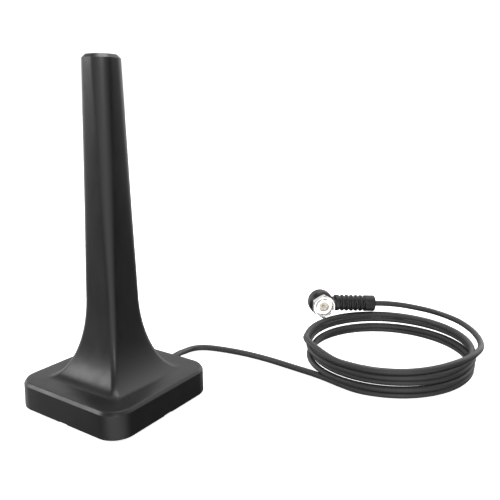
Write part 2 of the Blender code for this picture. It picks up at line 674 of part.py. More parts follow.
def make_antenna(parts, cutters):
    """The dipole's board, its two copper arms, the feed joints and the foam collar."""
    face = BOARD_THICK / 2
    bottom = HOLDER_BOTTOM + HOLDER_THICK + GAP
    upright_strip("antenna_board", bottom, BOARD_TOP, -face, face, 0, "board_laminate", parts)
    copper_back = -face - GAP
    copper_front = copper_back - COPPER_THICK
    upright_strip("lower_radiator", LOWER_ARM_BOTTOM, FEED_HEIGHT - FEED_SPLIT / 2, copper_front,
                  copper_back, COPPER_MARGIN, "copper", parts)
    upright_strip("upper_radiator", FEED_HEIGHT + FEED_SPLIT / 2, UPPER_ARM_TOP, copper_front,
                  copper_back, COPPER_MARGIN, "copper", parts)
    lead_end = INNER_ROUTE[-1]
    core_start = lead_end + Vector((0, 0, GAP))
    core_end = Vector((0, face + GAP + FEED_LIFT, FEED_HEIGHT + FEED_RISE))
    tube("feed_core", [core_start, core_start.lerp(core_end, 0.5), core_end], FEED_RADIUS, "copper",
         parts)
    for name, (x, height, radius) in (("core_joint", CORE_JOINT), ("braid_joint", BRAID_JOINT)):
        profile = [(radius * across, radius * up) for across, up in JOINT_PROFILE]
        joint = turned(name, profile, "solder", parts, steps=FINE_SEGMENTS)
        joint.location = (x, face + GAP, height)
        joint.rotation_euler = (math.radians(-90), 0, 0)
    collar = slab("foam_collar", FOAM_HALF, FOAM_HALF, FOAM_CORNER, FOAM_BOTTOM, FOAM_TOP, "foam",
                  parts)
    slot_half = board_half(FOAM_BOTTOM) + FOAM_SLACK
    slot = box("foam_slot", (-slot_half, copper_front - GAP, FOAM_BOTTOM - MM),
               (slot_half, face + GAP, FOAM_TOP + MM), None, cutters)
    boolean(collar, slot, "DIFFERENCE")


def make_lead_entry(parts):
    """The lead inside the antenna and the grommet that it leaves through."""
    tube("inner_lead", smooth_points(INNER_ROUTE, INNER_STEPS), CORD_RADIUS, "cord_jacket", parts)
    wall_inside = CAVITY_HALF - GAP
    wall_outside = BASE_HALF + GAP
    nose_start = wall_outside + FLANGE_THICK
    profile = [(GROMMET_NOSE, NOSE_END), (GROMMET_NOSE + NOSE_TAPER, nose_start),
               (GROMMET_FLANGE, nose_start - FLANGE_BREAK), (GROMMET_FLANGE, wall_outside),
               (GROMMET_NECK, wall_outside), (GROMMET_NECK, wall_inside),
               (GROMMET_FLANGE, wall_inside), (GROMMET_FLANGE, wall_inside - FLANGE_THICK),
               (GROMMET_BORE, wall_inside - FLANGE_THICK), (GROMMET_BORE, NOSE_END)]
    grommet = turned("cable_grommet", profile, "soft_rubber", parts, closed=True, steps=24)
    grommet.location = (0, 0, EXIT_HEIGHT)
    grommet.rotation_euler = (math.radians(-90), 0, 0)


def make_free_lead(parts):
    """The lead outside the antenna: its run to the coil, the coil's ring and its run to the plug."""
    tube("cord_lead", smooth_points(LEAD_ROUTE, LEAD_STEPS), CORD_RADIUS, "cord_jacket", parts)
    tube("cord_tail", smooth_points(TAIL_ROUTE, TAIL_STEPS), CORD_RADIUS, "cord_jacket", parts)
    inside = COIL_RADIUS - COIL_HALF_WIDTH
    outside = COIL_RADIUS + COIL_HALF_WIDTH
    profile = [(inside + COIL_EDGE, COIL_TOP), (outside - COIL_EDGE, COIL_TOP),
               (outside, COIL_TOP - COIL_EDGE), (outside, COIL_BOTTOM + COIL_EDGE),
               (outside - COIL_EDGE, COIL_BOTTOM), (inside + COIL_EDGE, COIL_BOTTOM),
               (inside, COIL_BOTTOM + COIL_EDGE), (inside, COIL_TOP - COIL_EDGE)]
    ring = turned("cord_coil", profile, "cord_jacket", parts, closed=True, steps=60)
    ring.location = COIL_CENTRE


def axis_empty(name, direction, parts):
    """An empty at the plug's centre whose own Z axis points along a direction."""
    empty = bpy.data.objects.new(name, None)
    empty.empty_display_size = 5 * MM
    parts.objects.link(empty)
    turn = direction.to_track_quat("Z", "Y").to_matrix().to_4x4()
    empty.matrix_world = Matrix.Translation(PLUG_CENTRE) @ turn
    return empty


def hang(thing, empty):
    """Parent a piece to an empty, so that its own frame is the empty's."""
    thing.parent = empty
    return thing


def make_elbow(parts, cutters, nut_axis, boot_axis):
    """Moulded right-angle body: a rounded drum about the nut's axis with a neck for the lead."""
    profile = [(0, COLLAR_FRONT), (COLLAR_RADIUS, COLLAR_FRONT), (COLLAR_RADIUS, ELBOW_SHOULDER),
               (SHOULDER_RADIUS, ELBOW_SHOULDER)]
    profile += [(ELBOW_RADIUS - inset, ELBOW_SHOULDER - drop) for inset, drop in ELBOW_FRONT_ROUND]
    profile += [(ELBOW_RADIUS - inset, -drop) for inset, drop in ELBOW_BACK_ROUND]
    profile.append((0, -ELBOW_BACK))
    elbow = hang(turned("plug_elbow", profile, "plug_plastic", parts), nut_axis)
    neck = hang(cylinder("elbow_neck", NECK_RADIUS, NECK_START, NECK_END, None, cutters), boot_axis)
    boolean(elbow, neck, "UNION")
    post_bore = hang(cylinder("elbow_post_bore", POST_RADIUS + GAP, POST_BORE_BACK,
                              COLLAR_FRONT + MM, None, cutters), nut_axis)
    boolean(elbow, post_bore, "DIFFERENCE")
    lead_bore = hang(cylinder("elbow_lead_bore", FERRULE_RADIUS + GAP, 0, NECK_END + MM,
                              None, cutters), boot_axis)
    boolean(elbow, lead_bore, "DIFFERENCE")


def make_boot(parts, boot_axis):
    """Ribbed strain-relief boot, with the crimped ferrule and the end of the lead inside."""
    start = NECK_END + GAP
    profile = [(CORD_RADIUS + GAP, BOOT_END), (BOOT_RADIUS - BOOT_EDGE, BOOT_END),
               (BOOT_RADIUS, BOOT_END - BOOT_EDGE)]
    rib_top = RIB_START + RIB_COUNT * RIB_PITCH
    profile.append((BOOT_RADIUS, rib_top))
    for index in range(RIB_COUNT):
        top = rib_top - index * RIB_PITCH
        groove_top = top - RIB_SLOPE * RIB_PITCH
        groove_bottom = top - RIB_GROOVE_END * RIB_PITCH
        profile.append((BOOT_GROOVE, groove_top))
        profile.append((BOOT_GROOVE, groove_bottom))
        profile.append((BOOT_RADIUS, groove_bottom - RIB_SLOPE * RIB_PITCH))
        if index < RIB_COUNT - 1:
            profile.append((BOOT_RADIUS, top - RIB_PITCH))
    profile += [(BOOT_RADIUS, start), (FERRULE_RADIUS + GAP, start),
                (FERRULE_RADIUS + GAP, FERRULE_END + GAP), (CORD_RADIUS + GAP, FERRULE_END + GAP)]
    hang(turned("plug_boot", profile, "plug_plastic", parts, closed=True, steps=24), boot_axis)
    ferrule_start = POST_RADIUS + 2 * GAP
    hang(turned("crimp_ferrule", [(FERRULE_RADIUS, FERRULE_END), (FERRULE_RADIUS, ferrule_start),
                                  (CORD_RADIUS + GAP, ferrule_start),
                                  (CORD_RADIUS + GAP, FERRULE_END)], "nickel", parts, closed=True,
                steps=24), boot_axis)
    hang(cylinder("plug_inner_lead", CORD_RADIUS, ferrule_start, BOOT_END - GAP, "cord_jacket",
                  parts, 12), boot_axis)


def make_contact(parts, nut_axis):
    """The fixed metal and insulator inside the nut: post with its flange, insulator and pin."""
    bore = INSULATOR_RADIUS + GAP
    flange_back = POST_FLANGE_FACE - POST_FLANGE_THICK
    hang(turned("plug_post", [(POST_FLANGE_RADIUS - POST_FLANGE_EDGE, POST_FLANGE_FACE),
                              (POST_FLANGE_RADIUS, POST_FLANGE_FACE - POST_FLANGE_EDGE),
                              (POST_FLANGE_RADIUS, flange_back), (POST_RADIUS, flange_back),
                              (POST_RADIUS, POST_BACK), (bore, POST_BACK), (bore, POST_FLANGE_FACE)],
                "nickel", parts, closed=True), nut_axis)
    pin_bore = PIN_RADIUS + GAP
    hang(turned("plug_insulator", [(INSULATOR_RADIUS, INSULATOR_FACE),
                                   (INSULATOR_RADIUS, INSULATOR_BACK), (pin_bore, INSULATOR_BACK),
                                   (pin_bore, INSULATOR_FACE)], "insulator_cream", parts,
                closed=True, steps=28), nut_axis)
    profile = [(PIN_RADIUS * share, PIN_TIP - drop) for share, drop in PIN_TAPER]
    profile += [(PIN_RADIUS, PIN_BACK), (0, PIN_BACK)]
    hang(turned("centre_pin", profile, "nickel", parts, steps=FINE_SEGMENTS), nut_axis)


def make_nut(parts, cutters, nut_axis):
    """Hexagonal coupling nut: chamfered front, threaded bore and a lip behind the post's flange."""
    lip_front = POST_FLANGE_FACE - POST_FLANGE_THICK - GAP
    nut = turned("coupling_nut", [(0, NUT_FACE), (NUT_FACE_RADIUS, NUT_FACE),
                                  (NUT_ROUND, NUT_FACE - NUT_CHAMFER), (NUT_ROUND, NUT_BACK + NUT_BACK_BREAK),
                                  (NUT_ROUND - NUT_BACK_BREAK, NUT_BACK), (0, NUT_BACK)], "nickel", parts,
                 steps=48)
    hang(nut, nut_axis)
    across_corners = NUT_AF / math.cos(math.radians(30)) / 2
    hexagon = hang(cylinder("nut_hexagon", across_corners, NUT_BACK - MM, NUT_FACE + MM, None,
                            cutters, 6), nut_axis)
    boolean(nut, hexagon, "INTERSECT")
    thread_top = NUT_FACE - BORE_BREAK_DEPTH
    bore = [(0, NUT_FACE + MM), (NUT_BORE + BORE_BREAK_WIDTH, NUT_FACE + MM),
            (NUT_BORE + BORE_BREAK_WIDTH, NUT_FACE), (NUT_BORE, thread_top)]
    turns = int((thread_top - lip_front) / THREAD_PITCH)
    for index in range(turns):
        top = thread_top - index * THREAD_PITCH
        bore.append((NUT_BORE + THREAD_DEPTH, top - THREAD_PITCH / 2))
        bore.append((NUT_BORE, top - THREAD_PITCH))
    bore += [(NUT_BORE, lip_front), (POST_RADIUS + GAP, lip_front),
             (POST_RADIUS + GAP, NUT_BACK - MM), (0, NUT_BACK - MM)]
    cutter = hang(turned("nut_bore", bore, None, cutters, steps=36), nut_axis)
    boolean(nut, cutter, "DIFFERENCE")


def make_plug(parts, cutters):
    """The right-angle plug, lying on the coil."""
    nut_direction = Vector((math.cos(NUT_ANGLE), math.sin(NUT_ANGLE), 0))
    boot_direction = Vector((math.cos(BOOT_ANGLE) * math.cos(BOOT_DROOP),
                             math.sin(BOOT_ANGLE) * math.cos(BOOT_DROOP), -math.sin(BOOT_DROOP)))
    nut_axis = axis_empty("nut_axis", nut_direction, parts)
    boot_axis = axis_empty("boot_axis", boot_direction, parts)
    make_elbow(parts, cutters, nut_axis, boot_axis)
    make_boot(parts, boot_axis)
    make_contact(parts, nut_axis)
    make_nut(parts, cutters, nut_axis)


def main():
    clear_scene()
    define_materials()
    parts = make_collection("desktop_antenna")
    cutters = make_collection("cutters")
    make_housing(parts, cutters)
    make_cover(parts, cutters)
    make_base_fittings(parts, cutters)
    make_board_holder(parts, cutters)
    make_antenna(parts, cutters)
    make_lead_entry(parts)
    make_free_lead(parts)
    make_plug(parts, cutters)


main()
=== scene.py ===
"""Desktop indoor antenna of a cellular signal booster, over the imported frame.

Lengths are in metres and the frame is the part's own: +Z up, the origin under the middle of the base.
"""
import json
import math

import bmesh
import bpy
from mathutils import Matrix, Vector


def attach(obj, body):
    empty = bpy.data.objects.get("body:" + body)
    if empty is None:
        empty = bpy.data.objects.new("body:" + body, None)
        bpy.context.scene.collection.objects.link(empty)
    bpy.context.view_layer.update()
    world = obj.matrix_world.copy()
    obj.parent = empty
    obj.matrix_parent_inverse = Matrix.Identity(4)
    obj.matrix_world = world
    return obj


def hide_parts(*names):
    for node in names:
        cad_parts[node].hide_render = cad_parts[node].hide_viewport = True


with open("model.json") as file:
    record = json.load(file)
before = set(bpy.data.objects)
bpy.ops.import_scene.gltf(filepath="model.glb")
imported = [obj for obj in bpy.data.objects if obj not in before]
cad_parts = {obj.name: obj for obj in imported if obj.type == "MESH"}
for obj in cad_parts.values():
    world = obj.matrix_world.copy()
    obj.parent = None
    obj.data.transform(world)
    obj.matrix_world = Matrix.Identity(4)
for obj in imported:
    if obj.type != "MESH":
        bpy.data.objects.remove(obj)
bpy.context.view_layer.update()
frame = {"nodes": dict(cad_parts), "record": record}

MM = 0.001
GAP = 0.3 * MM

# Base and mast
BASE_HALF = 29.0 * MM
BASE_CORNER = 9.2 * MM
BASE_TOP = 12.0 * MM
RIM_BOTTOM = 0.7 * MM
RIM_ROUND = 0.7 * MM
WALL_DRAFT = 0.15 * MM
DECK_CHAMFER = 1.0 * MM
DECK_CHAMFER_DROP = 1.35 * MM
DECK_ROUND = 0.5 * MM
WALL_MIDDLE = 8.5 * MM
MAST_TOP = 140.5 * MM
MAST_CHAMFER = 1.5 * MM
MAST_BEVEL = [Vector(step) * MM for step in (
    (0.02, 1.38), (0.12, 1.3), (0.27, 1.14), (1.2, 0.2), (1.36, 0.07), (1.55, 0.01), (1.75, 0.0))]
MAST_HALF_TOP = 6.79 * MM
MAST_HALF_LOW = 8.15 * MM
MAST_CORNER_TOP = 5.5 * MM
MAST_CORNER_LOW = 2.6 * MM
MAST_CROWN = 0.55 * MM
CROWN_LIFT = 0.5
CROWN_START = 52.0 * MM
CROWN_FULL = 94.0 * MM
FLARE_START = 46.0 * MM
FLARE_REACH = 12.1 * MM
FLARE_DEPTH = 34.0 * MM
WALL = 2.0 * MM
CAVITY_HALF = 26.4 * MM
CAVITY_CORNER = 6.8 * MM
DECK_UNDERSIDE = 10.0 * MM
LEDGE_HEIGHT = 2.6 * MM
LEDGE_HALF = 27.2 * MM
NOTCH_LENGTH = 4.8 * MM
NOTCH_HEIGHT = 0.6 * MM
CORNER_POST = 20.5 * MM
FOOT_RADIUS = 4.6 * MM
FOOT_TOP = 1.1 * MM
HOLE_RADIUS = 2.5 * MM
HOLE_INNER = 25.0 * MM
HOLE_OUTER = 31.0 * MM

# Lead
CORD_RADIUS = 1.45 * MM
EXIT = Vector((0.0, 36.0 * MM, 5.4 * MM))
COIL_CENTRE = Vector((85.1 * MM, 98.8 * MM, 0.0))
COIL_OVAL = 1.1 * MM
COIL_OVAL_ANGLE = math.radians(83.0)
COIL_START = math.radians(235.0)
COIL_TURNS = 4
COIL_FIRST = -0.31
COIL_PLACES = [Vector(place) * MM for place in (
    (43.0, 0.4), (35.9, 2.0), (41.5, 2.9), (37.0, 5.05), (39.8, 5.6), (36.1, 7.9), (41.7, 8.8),
    (37.4, 10.7), (38.9, 12.5), (42.7, 15.9), (40.2, 21.3))]
LEAD_ROUTE = [Vector(point) * MM for point in (
    (0.0, 29.0, 5.4), (0.0, 32.6, 5.4), (0.0, 36.3, 5.4), (-0.6, 39.5, 5.2), (-1.9, 44.0, 4.5),
    (-3.6, 49.6, 3.1), (-4.8, 54.3, 2.1), (-4.6, 58.2, 1.6), (-2.6, 61.3, 1.5), (1.0, 63.4, 1.5),
    (5.6, 64.9, 1.5), (11.8, 66.3, 1.5), (19.0, 67.4, 1.5), (27.0, 67.9, 1.5), (36.0, 67.8, 1.5),
    (45.0, 67.1, 1.5), (54.0, 66.3, 1.5), (60.0, 65.8, 1.5), (66.0, 64.8, 1.5))]
TAIL_ROUTE = [Vector(point) * MM for point in (
    (70.8, 61.2, 13.4), (81.4, 59.1, 13.3), (92.0, 60.2, 13.3), (101.4, 64.4, 13.3),
    (108.6, 70.4, 13.4), (114.3, 77.6, 13.6), (118.1, 84.6, 13.7), (121.0, 91.4, 13.7),
    (122.9, 98.4, 13.7), (123.7, 105.4, 13.6), (123.4, 112.4, 13.3), (121.4, 120.0, 13.1),
    (118.0, 127.4, 13.1), (112.9, 134.9, 13.3), (105.6, 141.7, 13.7), (97.2, 145.4, 14.3),
    (88.8, 145.7, 15.3), (80.6, 143.4, 16.4), (74.3, 140.1, 17.4), (69.8, 136.7, 18.1),
    (66.4, 133.9, 18.45), (62.6, 130.7, 18.7), (58.0, 126.8, 19.0))]

GROMMET_BORE = 1.65 * MM
GROMMET_NECK = 2.2 * MM
GROMMET_FLANGE = 2.8 * MM
GROMMET_FLANGE_DEPTH = 1.3 * MM

# Plug
PLUG_CENTRE = Vector((40.1 * MM, 111.8 * MM, 20.2 * MM))
NUT_ANGLE = math.radians(-50.0)
BOOT_ANGLE = math.radians(40.0)
BOOT_DROOP = math.radians(2.9)
ELBOW_RADIUS = 6.6 * MM
ELBOW_BACK = 5.5 * MM
ELBOW_SHOULDER = 3.5 * MM
SHOULDER_RADIUS = 5.3 * MM
COLLAR_RADIUS = 4.8 * MM
COLLAR_FRONT = 5.3 * MM
NECK_RADIUS = 3.3 * MM
NECK_END = 7.2 * MM
BOOT_END = 29.4 * MM
BOOT_RADIUS = 4.3 * MM
BOOT_GROOVE = 3.6 * MM
RIB_COUNT = 6
RIB_PITCH = 2.55 * MM
RIB_START = 8.7 * MM
FERRULE_RADIUS = 2.3 * MM
FERRULE_ROOM_END = 15.9 * MM
BLEND_VOXEL = 0.13 * MM
NUT_AF = 11.0 * MM
NUT_BACK = 5.6 * MM
NUT_FACE = 9.2 * MM
NUT_BORE = 4.82 * MM
NUT_FACE_RADIUS = 5.5 * MM
NUT_CORNER = 6.22 * MM
NUT_FRONT_SLOPE = 0.5
NUT_BACK_SLOPE = 0.6
NUT_STEPS = 240
THREAD_ROWS = 64
THREAD_SINK = 0.45 * MM
THREAD_PITCH = 0.8 * MM
THREAD_DEPTH = 0.3 * MM
POST_FLANGE_RADIUS = 3.9 * MM
POST_FLANGE_FACE = 8.0 * MM
POST_FLANGE_BACK = 7.2 * MM
POST_RADIUS = 3.15 * MM
POST_BACK = -2.6 * MM
INSULATOR_RADIUS = 2.4 * MM
INSULATOR_FACE = 7.0 * MM
INSULATOR_BACK = -1.6 * MM
PIN_RADIUS = 0.5 * MM
PIN_TIP = 11.2 * MM
PIN_BACK = -1.4 * MM

# Camera
CAMERA_PLACE = Vector((176.6 * MM, -166.3 * MM, 119.8 * MM))
CAMERA_AZIMUTH = math.radians(33.23)
CAMERA_PITCH = math.radians(13.01)
CAMERA_ROLL = math.radians(0.39)
LENS = 43.07
SENSOR_WIDTH = 36.0

# Light: each lobe of the surroundings has its direction, the cosine where it starts and its strength
LOBE_FLOOR = 0.01
LOBES = (((0.1, -0.98, 0.1), 0.7, 0.55), ((-0.4, -0.85, 0.1), -0.2, 0.16), ((-1.0, -0.1, -0.1), 0.8, 1.1),
         ((-0.85, 0.45, 0.3), 0.7, 0.8), ((0.25, 0.5, 0.83), 0.5, 1.35), ((0.1, 1.0, 0.15), 0.78, 1.3),
         ((0.72, -0.6, -0.35), 0.55, 1.15))


# ---------------------------------------------------------------- materials

def new_material(name):
    """An empty node material with its shader, its node tree and the object's own coordinates."""
    material = bpy.data.materials.new(name)
    material.use_nodes = True
    tree = material.node_tree
    shader = tree.nodes["Principled BSDF"]
    coord = tree.nodes.new("ShaderNodeTexCoord").outputs["Object"]
    return material, tree, shader, coord


def noise(tree, coord, scale, detail=2.0, rough=0.5, stretch=None):
    """A noise texture's value, its scale in cycles per metre."""
    if stretch:
        mapping = tree.nodes.new("ShaderNodeMapping")
        mapping.inputs["Scale"].default_value = stretch
        tree.links.new(coord, mapping.inputs["Vector"])
        coord = mapping.outputs["Vector"]
    node = tree.nodes.new("ShaderNodeTexNoise")
    node.inputs["Scale"].default_value = scale
    node.inputs["Detail"].default_value = detail
    node.inputs["Roughness"].default_value = rough
    tree.links.new(coord, node.inputs["Vector"])
    return node.outputs["Fac"]


def remap(tree, value, low, high, to_low, to_high):
    """A value mapped from one range to another, held at its ends."""
    node = tree.nodes.new("ShaderNodeMapRange")
    for socket, number in zip(("From Min", "From Max", "To Min", "To Max"), (low, high, to_low, to_high)):
        node.inputs[socket].default_value = number
    tree.links.new(value, node.inputs["Value"])
    return node.outputs["Result"]


def mix_colour(tree, factor, first, second):
    """A colour between two others, each a socket or three numbers."""
    node = tree.nodes.new("ShaderNodeMix")
    node.data_type = "RGBA"
    tree.links.new(factor, node.inputs["Factor"])
    for socket, colour in ((node.inputs[6], first), (node.inputs[7], second)):
        if isinstance(colour, tuple):
            socket.default_value = (*colour, 1.0)
        else:
            tree.links.new(colour, socket)
    return node.outputs[2]


def multiply(tree, first, second):
    """The product of two values."""
    node = tree.nodes.new("ShaderNodeMath")
    node.operation = "MULTIPLY"
    tree.links.new(first, node.inputs[0])
    tree.links.new(second, node.inputs[1])
    return node.outputs["Value"]


def add(tree, first, second):
    """The sum of two values."""
    node = tree.nodes.new("ShaderNodeMath")
    tree.links.new(first, node.inputs[0])
    tree.links.new(second, node.inputs[1])
    return node.outputs["Value"]


def add_bumps(tree, shader, layers):
    """Chain bump nodes, each layer a height with its distance and strength, into the shader."""
    previous = None
    for height, distance, strength in layers:
        bump = tree.nodes.new("ShaderNodeBump")
        bump.inputs["Distance"].default_value = distance
        bump.inputs["Strength"].default_value = strength
        tree.links.new(height, bump.inputs["Height"])
        if previous:
            tree.links.new(previous, bump.inputs["Normal"])
        previous = bump.outputs["Normal"]
    tree.links.new(previous, shader.inputs["Normal"])


def edge_mask(tree, coord, low, high, scale):
    """Where edges are rubbed: convex places, broken up by noise."""
    pointed = tree.nodes.new("ShaderNodeNewGeometry").outputs["Pointiness"]
    edges = remap(tree, pointed, low, high, 0.0, 1.0)
    broken = remap(tree, noise(tree, coord, scale, 3.0), 0.35, 0.65, 0.25, 1.0)
    return multiply(tree, edges, broken)


def plastic(name, dark, light, rough, grain, depth, specular=0.5, wear=None):
    """Moulded plastic or rubber: clouded tone, uneven gloss, texture grain and rubbed edges."""
    material, tree, shader, coord = new_material(name)
    cloud = remap(tree, noise(tree, coord, 55.0, 4.0, 0.6), 0.3, 0.7, 0.0, 1.0)
    colour = mix_colour(tree, cloud, dark, light)
    speck = remap(tree, noise(tree, coord, grain * 0.55, 2.0), 0.42, 0.72, 0.0, 0.5)
    colour = mix_colour(tree, speck, colour, tuple(1.3 * value for value in light))
    if wear:
        colour = mix_colour(tree, edge_mask(tree, coord, 0.515, 0.56, 900.0), colour, wear)
    tree.links.new(colour, shader.inputs["Base Color"])
    smear = noise(tree, coord, 130.0, 4.0, 0.65, (1.0, 1.0, 0.45))
    tree.links.new(remap(tree, smear, 0.3, 0.7, rough - 0.05, rough + 0.07), shader.inputs["Roughness"])
    shader.inputs["Specular IOR Level"].default_value = specular
    add_bumps(tree, shader, [(noise(tree, coord, grain, 2.0, 0.6), depth, 0.5),
                             (noise(tree, coord, 240.0, 2.0), 0.02 * MM, 0.12)])
    return material


def metal(name, colour, tarnish, rough, scratch, stretch):
    """Plated or bare metal: drawn scratches, patchy tarnish and brighter rubbed edges."""
    material, tree, shader, coord = new_material(name)
    patches = remap(tree, noise(tree, coord, 300.0, 4.0, 0.6), 0.4, 0.75, 0.0, 0.8)
    body = mix_colour(tree, patches, colour, tarnish)
    bright = tuple(min(1.0, value * 1.15) for value in colour)
    body = mix_colour(tree, edge_mask(tree, coord, 0.52, 0.6, 1500.0), body, bright)
    tree.links.new(body, shader.inputs["Base Color"])
    shader.inputs["Metallic"].default_value = 1.0
    lines = noise(tree, coord, scratch, 3.0, 0.6, stretch)
    tree.links.new(remap(tree, lines, 0.3, 0.7, rough - 0.06, rough + 0.1), shader.inputs["Roughness"])
    add_bumps(tree, shader, [(lines, 0.004 * MM, 0.35)])
    return material


def board_laminate():
    """Solder resist over woven glass cloth."""
    material, tree, shader, coord = new_material("board_laminate")
    weaves = []
    for axis in ("X", "Z"):
        wave = tree.nodes.new("ShaderNodeTexWave")
        wave.bands_direction = axis
        wave.inputs["Scale"].default_value = 260.0
        wave.inputs["Distortion"].default_value = 0.6
        tree.links.new(coord, wave.inputs["Vector"])
        weaves.append(wave.outputs["Fac"])
    cloth = multiply(tree, *weaves)
    colour = mix_colour(tree, cloth, (0.012, 0.12, 0.05), (0.02, 0.19, 0.07))
    tree.links.new(colour, shader.inputs["Base Color"])
    tree.links.new(remap(tree, noise(tree, coord, 400.0), 0.3, 0.7, 0.28, 0.42), shader.inputs["Roughness"])
    add_bumps(tree, shader, [(cloth, 0.02 * MM, 0.4)])
    return material


def open_foam():
    """Open-cell foam with its pores, each coloured darker towards its bottom as painted shade."""
    material, tree, shader, coord = new_material("foam")
    pores = tree.nodes.new("ShaderNodeTexVoronoi")
    pores.inputs["Scale"].default_value = 2200.0
    tree.links.new(coord, pores.inputs["Vector"])
    depth = pores.outputs["Distance"]
    # painted shade: the colour darkens towards each pore's bottom, where the bump sinks it
    rise = remap(tree, depth, 0.1, 0.7, 0.0, 1.0)
    colour = mix_colour(tree, rise, (0.02, 0.02, 0.021), (0.14, 0.14, 0.145))
    tree.links.new(colour, shader.inputs["Base Color"])
    shader.inputs["Roughness"].default_value = 0.95
    add_bumps(tree, shader, [(depth, 0.25 * MM, 0.9)])
    return material


MATERIALS = {
    "housing_plastic": plastic("housing_plastic", (0.0095, 0.0096, 0.0099), (0.0115, 0.0116, 0.0119), 0.33,
                               4200.0, 0.008 * MM, 0.5, (0.036, 0.036, 0.037)),
    "cover_plastic": plastic("cover_plastic", (0.016, 0.016, 0.0165), (0.021, 0.021, 0.0215), 0.55,
                             2600.0, 0.03 * MM, 0.4, (0.035, 0.035, 0.035)),
    "soft_rubber": plastic("soft_rubber", (0.012, 0.012, 0.0123), (0.019, 0.019, 0.0195), 0.72,
                           3200.0, 0.02 * MM, 0.3),
    "cord_jacket": plastic("cord_jacket", (0.03, 0.0302, 0.031), (0.037, 0.0372, 0.038), 0.42,
                           3800.0, 0.008 * MM, 0.45),
    "plug_plastic": plastic("plug_plastic", (0.008, 0.008, 0.0083), (0.012, 0.012, 0.0124), 0.38,
                            3600.0, 0.012 * MM, 0.42, (0.03, 0.03, 0.03)),
    "insulator_cream": plastic("insulator_cream", (0.74, 0.67, 0.57), (0.84, 0.78, 0.68), 0.4,
                               3000.0, 0.01 * MM, 0.5),
    "label_film": plastic("label_film", (0.24, 0.24, 0.245), (0.29, 0.29, 0.295), 0.5, 5200.0, 0.006 * MM),
    "zinc_steel": metal("zinc_steel", (0.56, 0.57, 0.58), (0.42, 0.42, 0.4), 0.34, 900.0, (1.0, 1.0, 8.0)),
    "copper": metal("copper", (0.8, 0.42, 0.26), (0.52, 0.24, 0.13), 0.3, 900.0, (8.0, 1.0, 1.0)),
    "solder": metal("solder", (0.66, 0.66, 0.67), (0.5, 0.5, 0.5), 0.24, 700.0, (1.0, 1.0, 1.0)),
    "nickel": metal("nickel", (0.93, 0.92, 0.9), (0.82, 0.8, 0.76), 0.2, 900.0, (1.0, 1.0, 6.0)),
    "board_laminate": board_laminate(),
    "foam": open_foam(),
}


# ---------------------------------------------------------------- shapes

def finish_mesh(name, bm, material, angle=32.0):
    """Turn a bmesh into an object with outward faces, smooth but for its sharper edges."""
    bmesh.ops.recalc_face_normals(bm, faces=bm.faces)
    mesh = bpy.data.meshes.new(name)
    bm.to_mesh(mesh)
    bm.free()
    mesh.shade_smooth()
    mesh.set_sharp_from_angle(angle=math.radians(angle))
    thing = bpy.data.objects.new(name, mesh)
    bpy.context.scene.collection.objects.link(thing)
    if material:
        mesh.materials.append(MATERIALS[material])
    return thing


def join_rings(bm, rings, close=False):
    """Quads between neighbouring rings of vertices; with close, the last ring meets the first."""
    pairs = list(zip(rings, rings[1:]))
    if close:
        pairs.append((rings[-1], rings[0]))
    count = len(rings[0])
    for lower, upper in pairs:
        for index in range(count):
            following = (index + 1) % count
            bm.faces.new((lower[index], lower[following], upper[following], upper[index]))


def rounded_square(half, corner, height, steps=12, side=6):
    """Points of a rounded square at one height, with extra points along its straight sides."""
    points = []
    for quarter, (sign_x, sign_y) in enumerate(((1, 1), (-1, 1), (-1, -1), (1, -1))):
        centre = Vector((sign_x * (half - corner), sign_y * (half - corner), height))
        for step in range(steps + 1):
            angle = math.radians(90 * (quarter + step / steps))
            points.append(centre + corner * Vector((math.cos(angle), math.sin(angle), 0)))
        next_x, next_y = ((-1, 1), (-1, -1), (1, -1), (1, 1))[quarter]
        angle = math.radians(90 * (quarter + 1))
        start = points[-1]
        stop = Vector((next_x * (half - corner), next_y * (half - corner), height))
        stop += corner * Vector((math.cos(angle), math.sin(angle), 0))
        points += [start.lerp(stop, step / side) for step in range(1, side)]
    return points


def lathe(name, profile, material, steps=96, place=None, closed=False, angle=32.0):
    """A profile of (radius, height) points turned about Z, then moved by a matrix."""
    bm = bmesh.new()
    rings = []
    for radius, height in profile:
        if radius <= 0:
            rings.append(bm.verts.new((0, 0, height)))
            continue
        rings.append([bm.verts.new((radius * math.cos(math.tau * step / steps),
                                    radius * math.sin(math.tau * step / steps), height))
                      for step in range(steps)])
    pairs = list(zip(rings, rings[1:]))
    if closed:
        pairs.append((rings[-1], rings[0]))
    for first, second in pairs:
        for step in range(steps):
            following = (step + 1) % steps
            if isinstance(first, list) and isinstance(second, list):
                bm.faces.new((first[step], first[following], second[following], second[step]))
            elif isinstance(first, list):
                bm.faces.new((first[step], first[following], second))
            else:
                bm.faces.new((first, second[following], second[step]))
    if place:
        bm.transform(place)
    return finish_mesh(name, bm, material, angle)


def soften(profile, radius, steps=4, closed=False):
    """Round the corners of a profile, each by the radius or a third of its shorter side."""
    points = [Vector(point) for point in profile]
    count = len(points)
    result = []
    for index, point in enumerate(points):
        if not closed and index in (0, count - 1):
            result.append(tuple(point))
            continue
        before = points[index - 1] - point
        after = points[(index + 1) % count] - point
        turn = before.angle(after)
        if point.x <= 0 or turn > math.radians(172):
            result.append(tuple(point))
            continue
        reach = min(radius / math.tan(turn / 2), before.length / 3, after.length / 3)
        start = point + before.normalized() * reach
        stop = point + after.normalized() * reach
        for step in range(steps + 1):
            t = step / steps
            result.append(tuple(start * (1 - t) ** 2 + point * 2 * t * (1 - t) + stop * t ** 2))
    return result


def cut(thing, cutter, operation="DIFFERENCE"):
    """Apply a Boolean with a cutter, which is then removed."""
    modifier = thing.modifiers.new("cut", "BOOLEAN")
    modifier.operation = operation
    modifier.solver = "EXACT"
    modifier.object = cutter
    apply_modifiers(thing)
    bpy.data.objects.remove(cutter, do_unlink=True)


